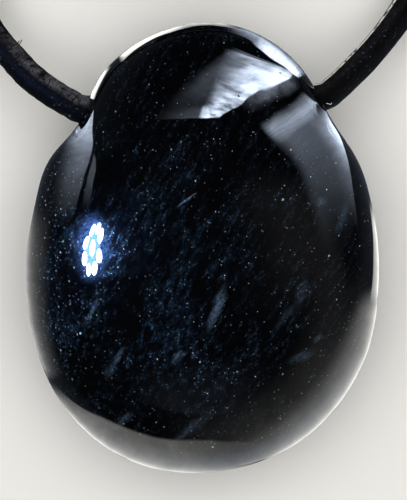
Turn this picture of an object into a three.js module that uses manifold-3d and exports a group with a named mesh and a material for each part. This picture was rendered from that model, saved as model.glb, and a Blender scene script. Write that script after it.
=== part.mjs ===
// A tumbled onyx pendant on a black leather cord, lying on its back with its cord wound up behind it.
//
// The stone is one egg-shaped pebble, polished all over, with flats worn round on its shoulders and a
// hole drilled across its narrow end. The cord runs through the hole, and both its strands go to one neat
// coil, where a fisherman's knot closes the loop and a thread tie holds the turns.
//
// Millimetres, +Z up. The origin is on the surface that the stone rests on, under the middle of its outline.
// +Y points to the stone's narrow end and +X to its right, seen from above.

import * as THREE from "three";
import { mergeVertices } from "three/addons/utils/BufferGeometryUtils.js";
import Module from "manifold-3d";

// ---- Driving dimensions: the stone ----

// Distances from the stone's middle, starting at its narrow end and going clockwise: the band round the
// edge at each half hour of a clock face, which draws in at the two ends of the hole, and the dome of the
// front and back at each hour.
const edgeRadii = [
  16.1, 15.7, 14.5, 12.5, 12.7, 12.3, 12.5, 12.9, 14.1, 14.8, 15.8, 16.2,
  16.4, 16.8, 16.0, 15.1, 13.8, 13.0, 12.5, 12.1, 12.8, 11.8, 14.5, 15.3,
];
const domeRadii = [19.3, 16.3, 13.8, 12.6, 14.0, 15.6, 16.4, 16.1, 14.0, 12.6, 13.7, 16.2];
const edgeHeight = 7.2; // the outline's height over the surface below
const frontDepth = 8.2; // from the outline up to the middle of the front
const backDepth = 7.7; // from the outline down, before the resting flat is worn off
const fullness = 2.1; // 2 would be an ellipse in section, more is boxier
const edgeRise = 1.6; // the band round the edge is curved like a stone this many times as deep
const wear = 30; // how sharply the rounds and the flats meet: more is sharper

// Flats worn on the stone: the clock hour they face, their tilt from upright, their distance from its
// middle.
const wornFaces = [
  { hour: 10.15, tilt: 46, distance: 10.6 },
  { hour: 1.2, tilt: 32, distance: 10.4 },
  { hour: 11.2, tilt: 26, distance: 10.2 },
  { hour: 3.2, tilt: 128, distance: 10.6 },
  { hour: 12.4, tilt: 146, distance: 10.2 },
];

// The drilled hole runs straight across the narrow end. Its mouths are a little flared.
const holeLeft = new THREE.Vector3(-8.3, 9.77, 7.27);
const holeRight = new THREE.Vector3(8.2, 10.67, 6.39);
const holeRadius = 1.3;
const mouthRadius = 1.65;
const mouthDepth = 0.7;

// ---- Driving dimensions: the cord ----

const cordRadius = 1;
const gap = 0.3; // between solids that touch

// The coil: a layer of turns that winds inwards on the surface, and one that winds outwards on top of it.
const coilCentre = new THREE.Vector3(0, 35.5, 0);
const bottomOuter = 13.9; // middle line of the outermost turn
const bottomInner = 8.0;
const topOuter = 12.1;
const topInner = 9.0;
const topHeight = 3.0; // middle line of the turns on top

// The strand that leaves the stone on the left, from the coil down to the stone.
const leftStrand = [
  [-14.4, 36.9, 1.03],
  [-14.65, 34.0, 1.03],
  [-15.1, 31.1, 1.03],
  [-15.55, 28.2, 1.05],
  [-15.95, 25.6, 1.25],
  [-16.25, 23.3, 1.85],
  [-16.4, 21.1, 2.6],
  [-16.35, 19.1, 3.35],
  [-15.95, 17.2, 4.15],
  [-15.3, 15.7, 4.85],
  [-14.5, 14.6, 5.45],
  [-13.37, 13.33, 6.05],
  [-12.42, 12.34, 6.55],
  [-11.37, 11.44, 6.95],
  [-10.33, 10.76, 7.2],
  [-9.4, 10.2, 7.3],
];
// The strand that leaves it on the right, from the stone up to the coil.
const rightStrand = [
  [9.45, 11.32, 6.25],
  [10.7, 12.5, 5.85],
  [11.88, 13.75, 5.25],
  [12.98, 15.05, 4.55],
  [14.02, 16.45, 3.85],
  [14.95, 17.9, 3.15],
  [15.75, 19.75, 2.35],
  [16.05, 21.9, 1.65],
  [15.75, 24.1, 1.25],
  [15.25, 26.2, 1.1],
  [14.7, 28.3, 1.3],
  [14.15, 30.3, 2.0],
  [13.6, 32.1, 2.8],
  [13.0, 34.0, 3.12],
  [12.4, 36.2, 3.05],
  [11.75, 38.6, 3.0],
];
// How much of the route above belongs to the coil's solid, at its left and right ends.
const leftStub = 0.1;
const rightStub = 0.14;
const tubeSteps = 44;

// The knot lies on the far side of the coil: two barrels of wraps, each with a trimmed tail at its outer
// end.
const knotCentre = new THREE.Vector3(0, 13.3, 4.95).add(coilCentre);
const knotHalfLength = 6.3;
const wrapPitch = 1.85;
const knotRadius = 2.85;
const knotGroove = 0.4;
const tailRadius = 0.95;
const tailEnd = 9.8; // from the knot's middle, along it
const tailAside = 1.95; // the tails lie on opposite sides of the knot's axis

// The tie goes round the bundle of turns on its near side.
const tieWidth = 3;
const tieThickness = 0.5;
const bundleShift = 0.35; // the turns draw together this much under the tie

// ---- Helpers ----

const wasm = await Module();
wasm.setup();

// A closed geometry as a solid for joining and cutting.
function solid(geometry) {
  const bare = geometry.clone();
  bare.deleteAttribute("normal");
  bare.deleteAttribute("uv");
  const merged = mergeVertices(bare, 1e-4);
  return new wasm.Manifold(
    new wasm.Mesh({
      numProp: 3,
      vertProperties: merged.attributes.position.array,
      triVerts: merged.index.array,
    }),
  );
}

function part(name, shape, material) {
  const { vertProperties, triVerts } = shape.getMesh();
  const geometry = new THREE.BufferGeometry();
  geometry.setAttribute("position", new THREE.BufferAttribute(vertProperties, 3));
  geometry.setIndex(new THREE.BufferAttribute(triVerts, 1));
  geometry.computeVertexNormals();
  const mesh = new THREE.Mesh(geometry, material);
  mesh.name = name;
  return mesh;
}

// A solid of revolution whose profile is a list of [out, along], with its axis from one point to another.
function turned(profile, segments, from, to) {
  const shape = new THREE.LatheGeometry(
    profile.map(([out, along]) => new THREE.Vector2(out, along)),
    segments,
  );
  const direction = to.clone().sub(from).normalize();
  const upright = new THREE.Vector3(0, 1, 0);
  shape.applyQuaternion(new THREE.Quaternion().setFromUnitVectors(upright, direction));
  shape.translate(from.x, from.y, from.z);
  return solid(shape);
}

// ---- The stone ----

// A cubic B-spline round the clock through evenly spaced radii, so that the stone has no crease.
function radiusAt(radii, clockAngle) {
  const count = radii.length;
  const place = (clockAngle / (2 * Math.PI)) * count;
  const first = Math.floor(place);
  const t = place - first;
  const weights = [
    (1 - t) ** 3,
    3 * t ** 3 - 6 * t ** 2 + 4,
    -3 * t ** 3 + 3 * t ** 2 + 3 * t + 1,
    t ** 3,
  ];
  return weights.reduce(
    (sum, weight, i) => sum + (weight / 6) * radii[(first - 1 + i + 2 * count) % count],
    0,
  );
}

function faceNormal({ hour, tilt }) {
  const clockAngle = (hour / 12) * 2 * Math.PI;
  const lean = THREE.MathUtils.degToRad(tilt);
  return new THREE.Vector3(
    Math.sin(lean) * Math.sin(clockAngle),
    Math.sin(lean) * Math.cos(clockAngle),
    Math.cos(lean),
  );
}

// How far the stone reaches from its middle in a unit direction. The dome, the steeper band round the edge
// and the worn faces give way softly to one another.
function stoneReach(direction) {
  const clockAngle = Math.atan2(direction.x, direction.y);
  const across = Math.hypot(direction.x, direction.y);
  const up = Math.abs(direction.z) / (direction.z > 0 ? frontDepth : backDepth);
  const rounded = (radii, rise) =>
    ((across / radiusAt(radii, clockAngle)) ** fullness + (up / rise) ** fullness) ** (1 / fullness);
  const flats = wornFaces.map((face) =>
    Math.max(0, direction.dot(faceNormal(face)) / face.distance),
  );
  const terms = [rounded(domeRadii, 1), rounded(edgeRadii, edgeRise), ...flats];
  return terms.reduce((total, term) => total + term ** wear, 0) ** (-1 / wear);
}

function pebble() {
  const ball = new THREE.IcosahedronGeometry(1, 17);
  const places = ball.attributes.position;
  const point = new THREE.Vector3();
  for (let i = 0; i < places.count; i++) {
    point.fromBufferAttribute(places, i).normalize();
    point.multiplyScalar(stoneReach(point));
    places.setXYZ(i, point.x, point.y, point.z + edgeHeight);
  }
  return solid(ball);
}

// What the drill takes away: a straight bore that flares at both mouths and runs on outside the stone.
function drilling() {
  const length = holeLeft.distanceTo(holeRight);
  const runOut = 5;
  const profile = [
    [0, -runOut],
    [mouthRadius, -runOut],
    [mouthRadius, 0],
    [holeRadius, mouthDepth],
    [holeRadius, length - mouthDepth],
    [mouthRadius, length],
    [mouthRadius, length + runOut],
    [0, length + runOut],
  ];
  return turned(profile, 24, holeLeft, holeRight);
}

// Everything under the surface that the stone rests on, which leaves the worn flat on its back.
function ground() {
  const block = new THREE.BoxGeometry(60, 60, 10);
  block.translate(0, 0, -5);
  return solid(block);
}

// ---- The cord ----

const route = new THREE.CatmullRomCurve3(
  [
    ...leftStrand.map((xyz) => new THREE.Vector3(...xyz)),
    ...[0, 0.25, 0.5, 0.75, 1].map((share) => holeLeft.clone().lerp(holeRight, share)),
    ...rightStrand.map((xyz) => new THREE.Vector3(...xyz)),
  ],
  false,
  "centripetal",
);

const gapShare = gap / route.getLength();

// An eight-sided tube along the route, from one share of its length to another.
function tube(from, to, steps) {
  const stretch = new THREE.CatmullRomCurve3(
    Array.from({ length: 2 * steps + 1 }, (_, i) =>
      route.getPointAt(from + ((to - from) * i) / (2 * steps)),
    ),
  );
  const section = new THREE.Shape();
  section.absarc(0, 0, cordRadius, 0, 2 * Math.PI);
  return solid(
    new THREE.ExtrudeGeometry(section, {
      steps,
      curveSegments: 4,
      extrudePath: stretch,
      bevelEnabled: false,
    }),
  );
}

// The outer shape of the two layers of turns, with the start of each strand.
function windings() {
  const top = topHeight + cordRadius;
  const flank = 0.7 * cordRadius;
  const profile = [
    [bottomInner, 0],
    [bottomOuter, 0],
    [bottomOuter + flank, cordRadius - flank],
    [bottomOuter + cordRadius, cordRadius],
    [bottomOuter + flank, cordRadius + flank],
    [topOuter + flank, top - cordRadius + flank],
    [topOuter, top],
    [topInner, top],
    [topInner - flank, top - cordRadius + flank],
    [bottomInner - cordRadius, cordRadius],
    [bottomInner - flank, cordRadius - flank],
    [bottomInner, 0],
  ];
  const up = coilCentre.clone().add(new THREE.Vector3(0, 0, 1));
  return turned(profile, 48, coilCentre, up)
    .add(tube(0, leftStub, 4))
    .add(tube(1 - rightStub, 1, 5));
}

// The barrels of cord wraps, which are rounded at both ends, and their tails. Clearance makes it fatter.
function knot(clearance) {
  const half = knotHalfLength + clearance;
  const profile = [[0, -half]];
  const samples = 4 * Math.round((2 * knotHalfLength) / wrapPitch);
  for (let i = 0; i <= samples; i++) {
    const place = half * ((2 * i) / samples - 1);
    const roundness = Math.max(0, Math.abs(place) - (half - tailRadius)) / tailRadius;
    const fall = tailRadius * (1 - Math.sqrt(1 - 0.8 * roundness ** 2));
    const groove = clearance ? 0 : knotGroove * (0.5 + 0.5 * Math.cos((2 * Math.PI * place) / wrapPitch));
    profile.push([knotRadius - fall - groove + clearance, place]);
  }
  profile.push([0, half]);
  const along = new THREE.Vector3(1, 0, 0);
  const barrels = turned(profile, 12, knotCentre, knotCentre.clone().add(along));
  const tails = [-1, 1].map((side) => {
    const outline = [
      [0, 0],
      [tailRadius + clearance, 0],
      [tailRadius + clearance, tailEnd + clearance],
      [0, tailEnd + clearance],
    ];
    const root = knotCentre.clone().add(new THREE.Vector3(0, -side * tailAside, 0));
    return turned(outline, 8, root, root.clone().addScaledVector(along, side));
  });
  return barrels.add(tails[0]).add(tails[1]);
}

// The band round the bundle of turns. Clearance makes it thicker all round.
function tieBand(clearance) {
  const middle = (bottomOuter + bottomInner) / 2 - bundleShift;
  const halfWide = (bottomOuter - bottomInner) / 2 + cordRadius - bundleShift;
  const high = topHeight + cordRadius;
  const section = (grow) =>
    [
      [-halfWide - grow, tieThickness - grow],
      [halfWide + grow, tieThickness - grow],
      [halfWide + grow, 0.55 * high],
      [0.55 * halfWide + grow, high + grow],
      [-0.55 * halfWide - grow, high + grow],
      [-halfWide - grow, 0.55 * high],
    ].map(([x, y]) => new THREE.Vector2(x, y));
  const band = new THREE.Shape(section(tieThickness + clearance));
  band.holes.push(new THREE.Path(section(-clearance)));
  const width = tieWidth + 2 * clearance;
  const shape = new THREE.ExtrudeGeometry(band, { depth: width, bevelEnabled: false });
  shape.translate(0, 0, -width / 2);
  shape.rotateX(Math.PI / 2);
  shape.rotateZ(Math.PI / 2);
  shape.translate(coilCentre.x, coilCentre.y - middle, 0);
  return solid(shape);
}

// ---- Assembly ----

const onyx = new THREE.MeshStandardMaterial({ color: 0x0b0e16, roughness: 0.05 });
const leather = new THREE.MeshStandardMaterial({ color: 0x16151a, roughness: 0.6 });
const thread = new THREE.MeshStandardMaterial({ color: 0x2a2622, roughness: 0.8 });

const pendant = new THREE.Group();
pendant.add(part("stone", pebble().subtract(drilling()).subtract(ground()), onyx));
pendant.add(part("cord", tube(leftStub + gapShare, 1 - rightStub - gapShare, tubeSteps), leather));
pendant.add(part("cord_coil", windings().subtract(knot(gap)).subtract(tieBand(gap)), leather));
pendant.add(part("cord_knot", knot(0), leather));
pendant.add(part("coil_tie", tieBand(0), thread));
export default pendant;
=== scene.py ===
"""A tumbled onyx pendant on a black leather cord, dressed round its CAD frame.

The file is laid out as an add-on: settings, one operator for each piece, one for the stage, and a panel.
"""

import math

import bmesh
import bpy
from mathutils import Matrix, Vector, noise


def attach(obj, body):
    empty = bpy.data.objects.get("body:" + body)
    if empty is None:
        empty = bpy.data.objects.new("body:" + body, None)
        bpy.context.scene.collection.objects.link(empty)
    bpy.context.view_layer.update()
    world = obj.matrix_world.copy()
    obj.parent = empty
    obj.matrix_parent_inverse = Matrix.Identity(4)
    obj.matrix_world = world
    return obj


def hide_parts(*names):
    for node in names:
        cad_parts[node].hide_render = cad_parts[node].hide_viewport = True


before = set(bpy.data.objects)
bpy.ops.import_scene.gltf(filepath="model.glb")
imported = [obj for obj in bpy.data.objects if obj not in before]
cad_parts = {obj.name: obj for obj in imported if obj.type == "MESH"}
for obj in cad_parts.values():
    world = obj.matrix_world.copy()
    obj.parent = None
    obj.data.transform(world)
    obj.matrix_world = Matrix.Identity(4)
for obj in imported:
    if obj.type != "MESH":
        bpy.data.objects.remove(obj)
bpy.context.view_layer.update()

bl_info = {
    "name": "Tumbled Onyx Pendant",
    "version": (1, 0, 0),
    "blender": (4, 5, 0),
    "location": "View3D > Sidebar > Pendant",
    "description": "Builds a tumbled onyx pendant with its coiled leather cord, and a stage for it",
    "category": "Add Mesh",
}

MM = 0.001

# ---- Shape of the stone, in millimetres ----

# Distances from the stone's middle, starting at its narrow end and going clockwise: the band round the
# edge at each half hour of a clock face, which draws in at the two ends of the hole, and the dome at each
# hour.
EDGE_RADII = [
    16.1, 15.7, 14.5, 12.5, 12.7, 12.3, 12.5, 12.9, 14.1, 14.8, 15.8, 16.2,
    16.4, 16.8, 16.0, 15.1, 13.8, 13.0, 12.5, 12.1, 12.8, 11.8, 14.5, 15.3,
]
DOME_RADII = [19.3, 16.3, 13.8, 12.6, 14.0, 15.6, 16.4, 16.1, 14.0, 12.6, 13.7, 16.2]
EDGE_HEIGHT = 7.2
FRONT_DEPTH = 8.2
BACK_DEPTH = 7.7
FULLNESS = 2.1
EDGE_RISE = 1.6
WEAR = 30
# Degrees past which an edge of the mouths stays sharp.
MOUTH_EDGE_ANGLE = 35

# Flats worn on it: the clock hour they face, their tilt from straight up, their distance from the middle.
WORN_FACES = [
    (10.15, 46, 10.6),
    (1.2, 32, 10.4),
    (11.2, 26, 10.2),
    (3.2, 128, 10.6),
    (12.4, 146, 10.2),
]

HOLE_LEFT = Vector((-8.3, 9.77, 7.27))
HOLE_RIGHT = Vector((8.2, 10.67, 6.39))
HOLE_RADIUS = 1.3
MOUTH_RADIUS = 1.65
MOUTH_DEPTH = 0.7

# ---- Route of the cord, in millimetres ----

COIL_CENTRE = Vector((0, 35.5, 0))
TURN_PITCH = 2.03
TOP_HEIGHT = 3.0
LEFT_STRAND = [
    (-14.4, 36.9, 1.03),
    (-14.65, 34.0, 1.03),
    (-15.1, 31.1, 1.03),
    (-15.55, 28.2, 1.05),
    (-15.95, 25.6, 1.25),
    (-16.25, 23.3, 1.85),
    (-16.4, 21.1, 2.6),
    (-16.35, 19.1, 3.35),
    (-15.95, 17.2, 4.15),
    (-15.3, 15.7, 4.85),
    (-14.5, 14.6, 5.45),
    (-13.37, 13.33, 6.05),
    (-12.42, 12.34, 6.55),
    (-11.37, 11.44, 6.95),
    (-10.33, 10.76, 7.2),
    (-9.4, 10.2, 7.3),
]
RIGHT_STRAND = [
    (9.45, 11.32, 6.25),
    (10.7, 12.5, 5.85),
    (11.88, 13.75, 5.25),
    (12.98, 15.05, 4.55),
    (14.02, 16.45, 3.85),
    (14.95, 17.9, 3.15),
    (15.75, 19.75, 2.35),
    (16.05, 21.9, 1.65),
    (15.75, 24.1, 1.25),
    (15.25, 26.2, 1.1),
    (14.7, 28.3, 1.3),
    (14.15, 30.3, 2.0),
    (13.6, 32.1, 2.8),
    (13.0, 34.0, 3.12),
    (12.4, 36.2, 3.05),
    (11.75, 38.6, 3.0),
]

LACE_RADIUS = 1.0
LACE_SIDES = 24
# Degrees past which an edge of the cut ends stays sharp.
CUT_END_ANGLE = 60
PATH_SPACING = 0.25
# Places round the lace, as shares of a turn: the side worn grey by the left mouth, and the line of painted
# rim highlight.
WORN_SIDE = 0.53
WORN_SIDE_REACH = 0.15
RIM_HIGHLIGHT_SIDE = 0.54
RIM_HIGHLIGHT_REACH = 0.032
# Stretches along the lace, in millimetres from the middle of the hole, over which it turns dented and worn
# by the left mouth, and over which its painted rim highlight shows by the right one.
DENTED_BEND = (22, 12)
WORN_BEND = (20.0, 10.0)
RIM_HIGHLIGHT_STRETCH = (424.0, 431.0)
# Loose fibres: their points, their radius, and the place along and round the lace that they are coloured
# as. Two are dark hairs by the left strand, and the last is a pale curl by the right mouth, coloured as the
# painted rim highlight.
FIBRES = [
    (
        [(-13.22, 14.31, 5.85), (-13.05, 14.5, 5.9), (-12.96, 14.66, 5.92), (-12.88, 14.82, 5.9)],
        0.035, 20, 0.9,
    ),
    ([(-13.35, 14.4, 5.8), (-13.17, 14.58, 5.85), (-13.08, 14.77, 5.85)], 0.035, 20, 0.9),
    (
        [(8.78, 9.72, 6.9), (8.57, 10.03, 7.1), (8.7, 10.21, 7.2),
         (8.94, 10.18, 7.2), (9.11, 10.13, 7.15), (9.16, 10.26, 7.1)],
        0.02, 436, RIM_HIGHLIGHT_SIDE,
    ),
]
FIBRE_SIDES = 5

# The coil lies in two layers. It has this many whole turns and the angle between its two strands. These
# are the turns, counted clockwise from the left strand, at which the lace climbs to the upper layer.
WHOLE_TURNS = 5
CLIMB_START = 3.36
CLIMB_END = 3.58
# Degrees to each side of the tie and of the knot between which the lace comes back to its own turn, and
# how much of a turn, at the end, may swing through the knot.
TIE_LIFT = (8, 34)
KNOT_SWING = (24, 66)
SWINGING_TURN = 0.7

KNOT_CENTRE = COIL_CENTRE + Vector((0, 13.3, 4.95))
WRAP_RADIUS = 1.93
WRAP_PITCH = 1.85
WRAPS_A_BARREL = 2.63
FIRST_WRAP = 0.98
# Drawn tight, the lace is thinner in the knot. Each of its two barrels starts at its own place in the
# leather's pattern, in millimetres along it.
KNOT_TIGHTNESS = 0.95
KNOT_PATTERN_STARTS = {-1: 100, 1: 200}
KNOT_SIDES = 20

TIE_DIAMETER = 0.45
TIE_TURNS = 6
TIE_PITCH = 1.1 * TIE_DIAMETER
TIE_GAP = 0.03
TIE_START_ANGLE = 80
TIE_SIDES = 10
# How far from the coil's centre the tied bundle of turns lies, and how far it reaches to either side.
BUNDLE_DISTANCE = 11
BUNDLE_REACH = 5

# ---- Marks in the stone ----

# Bedding, in degrees from the X axis.
BEDDING_ANGLE = 58
# Wisps: across, up, height, length, width in millimetres, angle in degrees, strength.
WISPS = [
    (0.96, -4.2, 14.8, 2.8, 0.6, 70, 0.75),
    (6.8, -7.5, 11.5, 2.0, 0.65, 25, 0.5),
    (7.9, -6.3, 11.5, 0.8, 0.4, 50, 0.5),
    (6.8, -3.1, 13.5, 2.0, 0.6, 75, 0.3),
    (5.7, -4.7, 13.5, 2.2, 0.5, 50, 0.22),
    (8.2, 3.2, 13.0, 0.7, 0.6, 20, 0.5),
    (9.6, 2.1, 12.0, 2.2, 0.6, 75, 0.35),
    (-0.7, -12.4, 10.5, 3.6, 0.7, 40, 0.55),
    (-5.4, -11.9, 10.5, 1.6, 0.5, 45, 0.5),
    (-5.7, -7.4, 13.0, 1.3, 0.4, 55, 0.55),
    (-6.3, -8.4, 12.5, 1.3, 0.6, 60, 0.25),
    (-1.7, -7.5, 13.8, 1.0, 0.5, 60, 0.5),
    (-7.6, -4.4, 12.8, 1.9, 0.35, 60, 0.6),
    (-1.1, 3.2, 15.3, 1.5, 0.16, 36, 1.0),
]

# Pale specks: their spacing and radius in millimetres, how rare they are, and their strength.
SPECKS = [
    (0.22, 0.05, 0.75, 0.4),
    (0.4, 0.07, 0.9, 0.75),
    (0.9, 0.1, 0.85, 1.0),
]

# ---- Colours, as sRGB hex values ----

ONYX_BLACK = "#020203"
# The blue of the clouds and of the blue grains is partly the stone's own and partly painted torch light.
ONYX_BLUE_AND_TORCH_GLOW = "#060b12"
ONYX_BLUE_GRAIN_AND_TORCH_GLOW = "#213142"
ONYX_DARK_GRAIN = "#1a1d21"
ONYX_WISP = "#465768"
ONYX_SPECK = "#cfd6d2"
ONYX_BLUE_SPECK = "#8fb2c8"
LEATHER_BLACK = "#040405"
LEATHER_WORN = "#5c5c62"
# The pale line of painted rim highlight along the lace by the right mouth.
LEATHER_RIM_HIGHLIGHT = "#f4f2e8"
# Flecks of dust on the lace, with painted glints.
LEATHER_DUST_AND_GLINT = "#5f7486"
THREAD_BROWN = "#2e2822"
FLOOR_PALE = "#e6e4df"
DAYLIGHT = "#d8e7ff"
PAPER_LIGHT = "#fbfaf4"
TORCH_BLUE = "#6698ff"
WASH_BLUE = "#c6dcff"

# ---- Light ----

CAMERA_DISTANCE = 200
FLOOR_REACH = 3
OVERHEAD_SIZE = 1.0
OVERHEAD_HEIGHT = 0.8
# Small lamps that only the leather takes, in metres, by the side each stands on.
LEATHER_GLOSSES = {"far": (0, 0.34, 0.2), "right": (0.4, -0.1, 0.16), "left": (-0.4, 0.2, 0.1)}
LEATHER_GLOSS_SIZE = 0.25
LEATHER_GLOSS_WATTS = 0.14
# The dim room glows most low down, on the side that this direction points to.
ROOM_GLOW_SIDE = (0.3, -0.95, 0)

# How many millimetres of the plane through the stone's edge the camera's picture is high, its height in
# pixels, and the pixel that the stone's middle lies on.
VIEW_HEIGHT = 35.44
PICTURE_HEIGHT = 500
PIXELS_PER_MM = PICTURE_HEIGHT / VIEW_HEIGHT
STONE_PIXEL = (202.5, 247.5)

# Glowing cards. Each has the two sides of the place on the stone where the camera sees its mirror
# image, in pixels of the camera's picture; its brightness; how far its four edges fade (left side, right
# side, start, end, as shares of the card); how deep its folds are, and how many lie across and along it;
# its tint; and how far from the stone's middle it hangs, in millimetres.
CARDS = {
    "window_pale": (
        [(147, 119), (183, 84), (216, 56), (231.5, 46)],
        [(219, 119), (243, 104), (281, 83), (300, 74)],
        2.6, (0.25, 0.06, 0.75, 0.02), (0.3, 1.2, 8), DAYLIGHT, 500,
    ),
    "window_sill": (
        [(150, 119), (158, 111), (168, 103)],
        [(214, 119), (216, 111), (218, 103)],
        2.0, (0.9, 0.1, 0.03, 0.8), (0.3, 1.2, 8), DAYLIGHT, 500,
    ),
    "window_bright": (
        [(198, 119), (205, 100), (212, 80), (224, 46.5)],
        [(219, 119), (232, 110.5), (258, 96), (300, 74)],
        27.0, (0.6, 0.05, 0.03, 0.02), (0.8, 1.1, 5.5), DAYLIGHT, 500,
    ),
    "window_fringe": (
        [(238, 105.5), (256, 95), (277, 82), (297, 75)],
        [(250, 120), (267, 110), (287, 98), (304, 89)],
        4.5, (0.02, 0.95, 0.6, 0.2), (0.6, 1.1, 5.5), DAYLIGHT, 500,
    ),
    "window_corner": (
        [(197, 119), (199, 113), (201, 108), (203, 104)],
        [(211, 119.5), (211, 115), (210, 110), (209, 105)],
        14.0, (0.35, 0.2, 0.1, 0.5), (0.1, 1.2, 8), DAYLIGHT, 500,
    ),
    "crescent_low": (
        [(95, 99), (98, 90), (105, 76), (112, 66)],
        [(86, 99), (90, 86), (99, 70), (107, 58)],
        5.0, (0.3, 0.05, 0.05, 0.45), (0.2, 1.2, 8), PAPER_LIGHT, 30,
    ),
    "crescent_left": (
        [(120, 64), (136, 49.5), (156, 37.5), (176, 31.5), (192, 29)],
        [(115, 51), (132, 36), (153, 26), (174, 19), (190, 16)],
        6.0, (0.1, 0.15, 0.1, 0.7), (0.2, 1.2, 8), PAPER_LIGHT, 30,
    ),
    "crescent_top": (
        [(160, 36), (176, 31), (196, 28), (220, 29), (241, 33)],
        [(158, 24), (174, 19), (196, 16), (220, 16.5), (241, 19)],
        1.2, (0.12, 0.05, 0.5, 0.25), (0.2, 1.2, 8), PAPER_LIGHT, 30,
    ),
    "crescent_right": (
        [(224, 31), (246, 38), (258, 47.5), (272, 59.5), (285, 68), (298, 79)],
        [(224, 16), (248, 22), (266, 32), (283, 44), (298, 58), (309, 73)],
        2.8, (0.06, 0.3, 0.3, 0.1), (0.3, 1.2, 8), DAYLIGHT, 21,
    ),
    "crescent_hot": (
        [(250, 42), (262, 51.5), (272, 59.5), (285, 67.5), (299, 79)],
        [(258, 34), (270, 42), (282, 51), (293, 62), (304, 76)],
        26.0, (0.08, 0.7, 0.35, 0.1), (0.3, 1.2, 8), DAYLIGHT, 21,
    ),
    "second_band": (
        [(256, 124), (266, 135), (277, 147)],
        [(304, 91), (315, 102), (325, 115)],
        9.0, (0.15, 0.08, 0.5, 0.5), (0.35, 1.2, 8), DAYLIGHT, 500,
    ),
    "shoulder": (
        [(262, 138), (278, 150), (294, 168), (303, 192), (312, 225), (318, 262)],
        [(316, 98), (324, 115), (336, 142), (348, 180), (354, 215), (360, 255)],
        2.9, (0.3, 0.3, 0.15, 1), (0.15, 1.2, 8), DAYLIGHT, 45,
    ),
    "dim_room": (
        [(215, 150), (225, 215), (232, 270), (215, 340)],
        [(300, 165), (335, 215), (350, 280), (335, 345)],
        0.13, (0.6, 0.15, 0.3, 0.5), (0.15, 1.2, 8), PAPER_LIGHT, 500,
    ),
    "dim_low": (
        [(120, 395), (170, 414), (225, 417), (290, 395)],
        [(130, 340), (185, 350), (240, 350), (290, 330)],
        0.15, (0.1, 0.85, 0.4, 0.4), (0.4, 1.2, 8), DAYLIGHT, 500,
    ),
    "sliver": (
        [(94.5, 154), (92, 161), (89, 170), (85.5, 184), (82.5, 198), (79.5, 213)],
        [(95.8, 153), (96, 161), (95.5, 171), (94, 183), (91, 200), (88, 214)],
        1.4, (0.25, 0.1, 0.15, 0.6), (0.2, 1.2, 8), DAYLIGHT, 30,
    ),
    "paper_left": (
        [(52, 380), (68, 397), (87, 410), (104, 417), (120, 424), (143, 432), (168, 438), (200, 438),
         (240, 440), (275, 440)],
        [(40, 388), (52, 408), (70, 427), (90, 442), (110, 455), (138, 468), (165, 476), (200, 478),
         (243, 475), (288, 463)],
        1.95, (0.12, 0.02, 0.3, 0.35), (0.2, 1.2, 8), PAPER_LIGHT, 500,
    ),
    "paper_right": (
        [(215, 432), (262, 420), (292, 400), (318, 370), (336, 338), (349, 311), (362, 286)],
        [(215, 479), (277, 468), (318, 439), (352, 403), (374, 361), (384, 321), (387, 284)],
        2.0, (0.8, 0.02, 0.3, 0.15), (0.15, 1.2, 8), PAPER_LIGHT, 500,
    ),
    "paper_far": (
        [(150, 388), (205, 400), (245, 392), (268, 372), (286, 345), (297, 312), (303, 270),
         (300, 235)],
        [(150, 440), (212, 456), (270, 441), (312, 412), (342, 375), (361, 335), (369, 290),
         (371, 240)],
        0.34, (0.7, 0.15, 0.3, 0.5), (0.2, 1.2, 8), PAPER_LIGHT, 500,
    ),
    "right_line": (
        [(368, 198), (371.5, 221), (373, 240), (373, 260), (372, 282), (369, 306)],
        [(378, 196), (382, 220), (384, 240), (385, 260), (385, 282), (383, 308)],
        2.0, (0.15, 0.02, 0.3, 0.15), (0.1, 1.2, 8), PAPER_LIGHT, 500,
    ),
    "left_rim": (
        [(60, 205), (54, 240), (52, 275), (53, 310), (58, 350), (66, 380)],
        [(26, 200), (18, 240), (16, 275), (18, 310), (28, 352), (42, 388)],
        0.8, (0.95, 0.02, 0.3, 0.1), (0.2, 1.2, 8), PAPER_LIGHT, 500,
    ),
    "torch_flare": (
        [(78, 210), (73, 246), (77, 286)],
        [(107, 207), (113, 246), (106, 288)],
        40, (0.55, 0.6, 0.5, 0.5), (0.95, 14, 20), TORCH_BLUE, 500,
    ),
    "torch_glow": (
        [(72, 200), (66, 248), (72, 310)],
        [(130, 190), (146, 248), (132, 320)],
        0.35, (0.35, 0.8, 0.45, 0.6), (0.95, 22, 30), TORCH_BLUE, 500,
    ),
    "right_ridge": (
        [(300, 110), (308, 124), (318, 140), (327, 156), (333, 175), (339, 200), (343, 232)],
        [(324.6, 104.7), (331, 121), (340.5, 137), (346.4, 153.5), (350.5, 171), (355, 202),
         (360, 235)],
        6.5, (0.85, 0.05, 0.3, 0.75), (0.2, 1.2, 8), DAYLIGHT, 30,
    ),
    "left_wedge": (
        [(88, 100), (82, 108), (76, 119), (70, 130), (64, 142), (59, 154), (56, 168)],
        [(94.5, 101), (93.8, 110), (93.2, 121), (92.8, 132), (94, 143), (93.5, 151.5), (89.5, 163)],
        9.0, (0.8, 0.05, 0.02, 0.75), (0.3, 1.2, 8), DAYLIGHT, 21,
    ),
    "left_flank": (
        [(74, 122), (66, 138), (59, 154), (54, 172), (50, 200), (47, 232)],
        [(93.2, 121), (93.5, 137), (93.5, 151.5), (88, 166), (79.5, 196), (71, 228)],
        2.8, (0.75, 0.05, 0.3, 0.55), (0.3, 1.2, 8), DAYLIGHT, 30,
    ),
}
CARD_SEGMENTS = (10, 16)

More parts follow.
